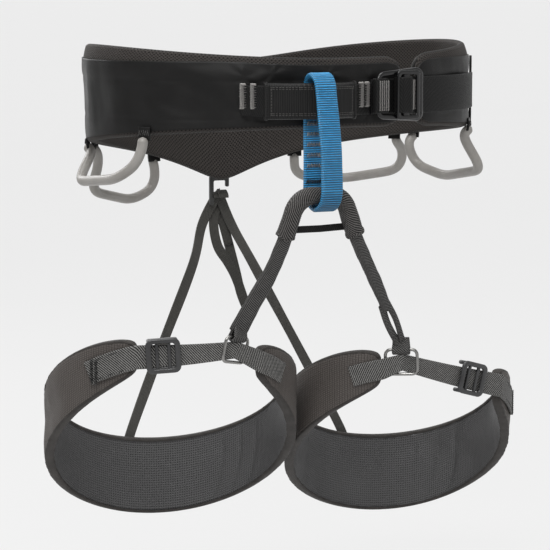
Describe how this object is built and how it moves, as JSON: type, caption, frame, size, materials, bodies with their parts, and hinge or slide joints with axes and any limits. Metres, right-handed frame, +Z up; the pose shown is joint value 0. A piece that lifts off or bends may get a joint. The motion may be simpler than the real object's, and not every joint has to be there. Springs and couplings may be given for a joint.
{
  "type": "climbing harness",
  "caption": "Padded waist belt with front buckle and belay loop, two padded leg loops hung from a webbing bridge and elastic risers, and moulded gear loops.",
  "frame": {"origin": "middle of the waist opening at the height of the belt webbing", "axes": "+Z up, the wearer faces -Y, +X is the wearer's left"},
  "size_m": [0.3904, 0.2837, 0.3975],
  "materials": {
    "belt_shell": "satin woven shell",
    "belt_lining": "knitted spacer mesh",
    "foam": "closed soft foam inside the fabric",
    "leg_shell": "ripstop woven shell",
    "leg_lining": "perforated mesh",
    "binding": "folded edge tape",
    "loop_webbing": "shiny ribbed webbing",
    "thread": "bar-tack stitching",
    "gear_loop_plastic": "satin moulded",
    "hardware_plastic": "matte moulded",
    "buckle_metal": "gloss black",
    "ring_metal": "satin wire",
    "elastic": "ribbed elastic",
    "leg_webbing": "diagonal ribbed webbing",
    "black_webbing": "flat webbing"
  },
  "bodies": {
    "waistbelt": {"belt_core_webbing": "black_webbing", "belt_edge_binding": "binding", "belt_foam_core": "foam", "belt_inner_mesh": "belt_lining", "belt_outer_shell": "belt_shell", "belt_side_binding": "binding", "bridge_sleeve": "black_webbing", "bridge_spacer_strap": "leg_webbing", "buckle_anchor_webbing": "black_webbing", "gear_loop_tabs": "black_webbing", "leg_bridge": "leg_webbing", "rear_hook_tab": "black_webbing", "riser_adjust_tail": "elastic", "riser_hook": "hardware_plastic", "riser_strap_left": "elastic", "riser_strap_right": "elastic", "tie_in_bar_tacks": "thread", "tie_in_sleeve": "black_webbing", "tie_in_webbing": "black_webbing", "waist_strap": "black_webbing"},
    "belay_loop": {"belay_loop": "loop_webbing", "belay_loop_bar_tacks": "thread"},
    "leg_loop_right": {"leg_edge_binding_right": "binding", "leg_foam_core_right": "foam", "leg_inner_mesh_right": "leg_lining", "leg_outer_shell_right": "leg_shell", "leg_ring_right": "ring_metal", "leg_webbing_bar_tack_right": "thread", "leg_webbing_right": "leg_webbing"},
    "leg_loop_left": {"leg_edge_binding_left": "binding", "leg_foam_core_left": "foam", "leg_inner_mesh_left": "leg_lining", "leg_outer_shell_left": "leg_shell", "leg_ring_left": "ring_metal", "leg_webbing_bar_tack_left": "thread", "leg_webbing_left": "leg_webbing"},
    "slider_right": {"leg_slider_right": "hardware_plastic"},
    "slider_left": {"leg_slider_left": "hardware_plastic"},
    "buckle": {"buckle_frame": "buckle_metal"},
    "buckle_plate": {"buckle_slide_plate": "buckle_metal"},
    "gear_loop_front_right": {"gear_loop_front_right": "gear_loop_plastic"},
    "gear_loop_front_left": {"gear_loop_front_left": "gear_loop_plastic"},
    "gear_loop_rear_right": {"gear_loop_rear_right": "gear_loop_plastic"},
    "gear_loop_rear_left": {"gear_loop_rear_left": "gear_loop_plastic"}
  },
  "joints": [
    {"name": "belay_swing", "type": "hinge", "parent": "waistbelt", "child": "belay_loop", "pos_m": [-0.0262, -0.1268, 0], "axis": [-1, 0, 0], "range_deg": [-8, 12], "deforming": ["leg_bridge", "bridge_sleeve", "bridge_spacer_strap"]},
    {"name": "leg_swing_right", "type": "hinge", "parent": "waistbelt", "child": "leg_loop_right", "pos_m": [-0.08025, -0.09755, -0.17421], "axis": [1, 0, 0], "range_deg": [-8, 20], "stiffness_Nm_per_rad": 0.6, "springref_deg": 2.86, "deforming": ["riser_strap_right", "leg_bridge"]},
    {"name": "leg_swing_left", "type": "hinge", "parent": "waistbelt", "child": "leg_loop_left", "pos_m": [0.06027, -0.09605, -0.19407], "axis": [1, 0, 0], "range_deg": [-8, 20], "stiffness_Nm_per_rad": 0.6, "springref_deg": 2.86, "deforming": ["riser_strap_left", "leg_bridge"]},
    {"name": "gear_flip_front_right", "type": "hinge", "parent": "waistbelt", "child": "gear_loop_front_right", "pos_m": [-0.13675, -0.0055, -0.03775], "axis": [0.0047, 0.9931, -0.1171], "range_deg": [-10, 40]},
    {"name": "gear_flip_front_left", "type": "hinge", "parent": "waistbelt", "child": "gear_loop_front_left", "pos_m": [0.13725, -0.0035, -0.03775], "axis": [-0.0261, -0.9924, 0.1201], "range_deg": [-10, 40]},
    {"name": "gear_flip_rear_right", "type": "hinge", "parent": "waistbelt", "child": "gear_loop_rear_right", "pos_m": [-0.09425, 0.08375, -0.05375], "axis": [0.8263, 0.5317, -0.1858], "range_deg": [-10, 40]},
    {"name": "gear_flip_rear_left", "type": "hinge", "parent": "waistbelt", "child": "gear_loop_rear_left", "pos_m": [0.1, 0.0825, -0.053], "axis": [0.8451, -0.5047, 0.1761], "range_deg": [-10, 40]},
    {"name": "slider_travel_right", "type": "slide", "parent": "leg_loop_right", "child": "slider_right", "axis": [0.9571, -0.285, 0.0524], "range_m": [0, 0.02]},
    {"name": "slider_travel_left", "type": "slide", "parent": "leg_loop_left", "child": "slider_left", "axis": [-0.943, -0.194, 0.2706], "range_m": [-0.01, 0.025]},
    {"name": "buckle_tilt", "type": "hinge", "parent": "waistbelt", "child": "buckle", "pos_m": [0.02655, -0.12056, 0.0025], "axis": [0, 0, -1], "range_deg": [0, 35]},
    {"name": "buckle_plate_slide", "type": "slide", "parent": "buckle", "child": "buckle_plate", "axis": [-0.9774, -0.2114, 0], "range_m": [0, 0.006]}
  ]
}
